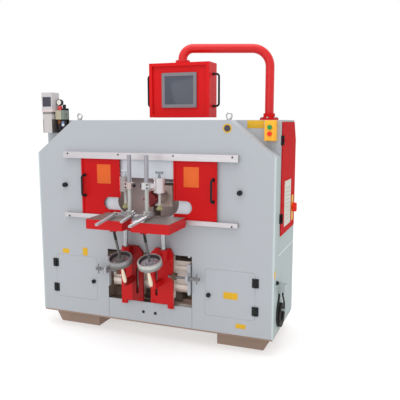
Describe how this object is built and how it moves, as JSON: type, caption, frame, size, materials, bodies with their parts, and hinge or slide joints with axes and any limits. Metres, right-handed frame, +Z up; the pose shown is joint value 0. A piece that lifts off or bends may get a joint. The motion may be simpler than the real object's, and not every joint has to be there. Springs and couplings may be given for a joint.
{
  "type": "tenoning machine",
  "caption": "Floor-standing tenoning machine with tilting tables on cross slides, sliding guards, hold-downs, fences and a swivelling operator's pendant.",
  "frame": {"origin": "on the floor, in the middle of the four levelling holes under the feet", "axes": "+X to the operator's right, +Y into the machine, +Z up"},
  "size_m": [1.796, 1.2427, 2.032],
  "materials": {
    "cabinet_paint": "satin",
    "red_paint": "gloss",
    "base_paint": "matte",
    "beam_paint": "satin",
    "vent_plastic": "matte",
    "rail_aluminium": "satin",
    "bright_steel": "brushed",
    "column_chrome": "polished",
    "wheel_iron": "turned rim",
    "black_plastic": "matte",
    "cable_rubber": "matte",
    "screw_black": "blackened",
    "grip_cream": "gloss",
    "pad_rubber": "matte",
    "switch_yellow": "satin",
    "button_green": "gloss",
    "button_red": "gloss",
    "lube_grey": "satin",
    "tank_plastic": "satin",
    "air_metal": "satin",
    "screen_grey": "satin",
    "cutter_red": "satin"
  },
  "bodies": {
    "cabinet": {"base_frame": "base_paint", "front_casing": "cabinet_paint", "body_shell": "cabinet_paint", "rear_panel": "cabinet_paint", "skirt_panel": "cabinet_paint", "lifting_eyes": "bright_steel", "guard_rails": "rail_aluminium", "door_bumpers": "black_plastic", "cabinet_hinges": "black_plastic", "guide_beam": "beam_paint", "bearing_brackets": "cabinet_paint", "switch_box": "switch_yellow", "lubricator_head": "lube_grey", "oil_tank": "tank_plastic", "air_unit": "air_metal", "pendant_base": "red_paint", "cable_gland": "black_plastic", "cable_leads": "cable_rubber", "cable_coil": "cable_rubber"},
    "left_guard": {"left_guard_door": "red_paint", "left_guard_handle": "black_plastic"},
    "left_access": {"left_access_door": "cabinet_paint"},
    "left_lock": {"left_access_lock": "black_plastic"},
    "right_guard": {"right_guard_door": "red_paint", "right_guard_handle": "black_plastic"},
    "right_access": {"right_access_door": "cabinet_paint"},
    "right_lock": {"right_access_lock": "black_plastic"},
    "electrical": {"electrical_door": "red_paint", "vent_cover": "vent_plastic"},
    "isolator": {"isolator_knob": "button_red"},
    "arm": {"pendant_arm": "red_paint"},
    "pendant": {"pendant_box": "red_paint", "touch_screen": "screen_grey", "pendant_handles": "black_plastic"},
    "start": {"start_button": "button_green"},
    "stop": {"stop_button": "button_red"},
    "regulator": {"regulator_knob": "black_plastic"},
    "left_carriage": {"left_carriage": "red_paint", "left_column": "column_chrome"},
    "left_cross_screw": {"left_cross_screw": "bright_steel"},
    "left_table": {"left_table": "red_paint", "left_hold_down": "bright_steel"},
    "left_tilt_screw": {"left_tilt_screw": "screw_black"},
    "left_wheel": {"left_handwheel": "wheel_iron", "left_wheel_grip": "grip_cream"},
    "left_press": {"left_press_pad": "pad_rubber"},
    "left_fence": {"left_fence": "rail_aluminium"},
    "right_carriage": {"right_carriage": "red_paint", "right_column": "column_chrome"},
    "right_cross_screw": {"right_cross_screw": "bright_steel"},
    "right_table": {"right_table": "red_paint", "right_hold_down": "bright_steel"},
    "right_tilt_screw": {"right_tilt_screw": "screw_black"},
    "right_wheel": {"right_handwheel": "wheel_iron", "right_wheel_grip": "grip_cream"},
    "right_press": {"right_press_pad": "pad_rubber"},
    "right_fence": {"right_fence": "rail_aluminium"},
    "spindle_slide": {"spindle_slide": "beam_paint"},
    "spindle_head": {"spindle_head": "base_paint"},
    "cutter": {"cutter": "cutter_red"}
  },
  "joints": [
    {"name": "left_guard_slide", "type": "slide", "parent": "cabinet", "child": "left_guard", "axis": [1, 0, 0], "range_m": [-0.13, 0.19]},
    {"name": "left_access_hinge", "type": "hinge", "parent": "cabinet", "child": "left_access", "pos_m": [-0.757, -0.3215, 0.395], "axis": [0, 0, -1], "range_deg": [0, 110]},
    {"name": "left_lock_turn", "type": "hinge", "parent": "left_access", "child": "left_lock", "pos_m": [-0.438, -0.315, 0.3758], "axis": [0, 1, 0], "range_deg": [0, 90]},
    {"name": "right_guard_slide", "type": "slide", "parent": "cabinet", "child": "right_guard", "axis": [-1, 0, 0], "range_m": [-0.13, 0.19]},
    {"name": "right_access_hinge", "type": "hinge", "parent": "cabinet", "child": "right_access", "pos_m": [0.757, -0.3215, 0.395], "axis": [0, 0, 1], "range_deg": [0, 110]},
    {"name": "right_lock_turn", "type": "hinge", "parent": "right_access", "child": "right_lock", "pos_m": [0.438, -0.315, 0.3758], "axis": [0, -1, 0], "range_deg": [0, 90]},
    {"name": "electrical_hinge", "type": "hinge", "parent": "cabinet", "child": "electrical", "pos_m": [0.8878, -0.168, 1.144], "axis": [0, 0, -1], "range_deg": [0, 110]},
    {"name": "isolator_turn", "type": "hinge", "parent": "electrical", "child": "isolator", "pos_m": [0.8813, 0.209, 0.915], "axis": [1, 0, 0], "range_deg": [0, 90]},
    {"name": "arm_swing", "type": "hinge", "parent": "cabinet", "child": "arm", "pos_m": [0.729, 0.096, 1.571], "axis": [0, 0, 1], "range_deg": [-30, 20]},
    {"name": "pendant_swivel", "type": "hinge", "parent": "arm", "child": "pendant", "pos_m": [0.17458, -0.10579, 1.91], "axis": [0, 0, 1], "range_deg": [-90, 90]},
    {"name": "start_press", "type": "slide", "parent": "cabinet", "child": "start", "axis": [0, 1, 0], "range_m": [0, 0.004], "stiffness_N_per_m": 600, "springref_m": -0.002},
    {"name": "stop_press", "type": "slide", "parent": "cabinet", "child": "stop", "axis": [0, 1, 0], "range_m": [0, 0.004], "stiffness_N_per_m": 600, "springref_m": -0.002},
    {"name": "regulator_turn", "type": "hinge", "parent": "cabinet", "child": "regulator", "pos_m": [-0.7015, -0.223, 1.616], "axis": [0, 0, 1], "range_deg": [-540, 540]},
    {"name": "left_carriage_slide", "type": "slide", "parent": "cabinet", "child": "left_carriage", "axis": [-1, 0, 0], "range_m": [-0.01, 0.06]},
    {"name": "left_cross_screw_turn", "type": "hinge", "parent": "cabinet", "child": "left_cross_screw", "pos_m": [-0.306, -0.36, 0.488], "axis": [-1, 0, 0], "range_deg": [-722, 4322]},
    {"name": "left_wheel_turn", "type": "hinge", "parent": "left_carriage", "child": "left_wheel", "pos_m": [-0.107, -0.52281, 0.63391], "axis": [0, -0.342, 0.9397], "range_deg": [0, 2030]},
    {"name": "left_screw_feed", "type": "slide", "parent": "left_carriage", "child": "left_tilt_screw", "axis": [0, 0.342, -0.9397], "range_m": [0, 0.0568]},
    {"name": "left_table_tilt", "type": "hinge", "parent": "left_carriage", "child": "left_table", "pos_m": [-0.14, -0.377, 0.8], "axis": [1, 0, 0], "range_deg": [0, 15.01]},
    {"name": "left_press_stroke", "type": "slide", "parent": "left_table", "child": "left_press", "axis": [0, 0, 1], "range_m": [-0.045, 0], "stiffness_N_per_m": 120, "springref_m": 0.06},
    {"name": "left_fence_turn", "type": "hinge", "parent": "left_table", "child": "left_fence", "pos_m": [-0.062, -0.455, 0.915], "axis": [0, 0, 1], "range_deg": [-12, 0]},
    {"name": "right_carriage_slide", "type": "slide", "parent": "cabinet", "child": "right_carriage", "axis": [1, 0, 0], "range_m": [-0.01, 0.06]},
    {"name": "right_cross_screw_turn", "type": "hinge", "parent": "cabinet", "child": "right_cross_screw", "pos_m": [0.306, -0.36, 0.488], "axis": [1, 0, 0], "range_deg": [-722, 4322]},
    {"name": "right_wheel_turn", "type": "hinge", "parent": "right_carriage", "child": "right_wheel", "pos_m": [0.107, -0.52281, 0.63391], "axis": [0, -0.342, 0.9397], "range_deg": [0, 2030]},
    {"name": "right_screw_feed", "type": "slide", "parent": "right_carriage", "child": "right_tilt_screw", "axis": [0, 0.342, -0.9397], "range_m": [0, 0.0568]},
    {"name": "right_table_tilt", "type": "hinge", "parent": "right_carriage", "child": "right_table", "pos_m": [0.14, -0.377, 0.8], "axis": [1, 0, 0], "range_deg": [0, 15.01]},
    {"name": "right_press_stroke", "type": "slide", "parent": "right_table", "child": "right_press", "axis": [0, 0, 1], "range_m": [-0.045, 0], "stiffness_N_per_m": 120, "springref_m": 0.06},
    {"name": "right_fence_turn", "type": "hinge", "parent": "right_table", "child": "right_fence", "pos_m": [0.062, -0.455, 0.915], "axis": [0, 0, 1], "range_deg": [0, 12]},
    {"name": "spindle_traverse", "type": "slide", "parent": "cabinet", "child": "spindle_slide", "axis": [1, 0, 0], "range_m": [-0.1, 0.1]},
    {"name": "spindle_lift", "type": "slide", "parent": "spindle_slide", "child": "spindle_head", "axis": [0, 0, 1], "range_m": [-0.06, 0.04]},
    {"name": "cutter_spin", "type": "hinge", "parent": "spindle_head", "child": "cutter", "pos_m": [0, -0.2475, 0.99], "axis": [0, 1, 0], "continuous": true}
  ],
  "couplings": [
    {"joint": "left_cross_screw_turn", "follows": "left_carriage_slide", "rad_per_m": 1256.6},
    {"joint": "left_screw_feed", "follows": "left_wheel_turn", "m_per_rad": 0.0015915},
    {"joint": "left_table_tilt", "follows": "left_wheel_turn", "ratio": 0.0073768},
    {"joint": "right_cross_screw_turn", "follows": "right_carriage_slide", "rad_per_m": 1256.6},
    {"joint": "right_screw_feed", "follows": "right_wheel_turn", "m_per_rad": 0.0015915},
    {"joint": "right_table_tilt", "follows": "right_wheel_turn", "ratio": 0.0073768}
  ]
}
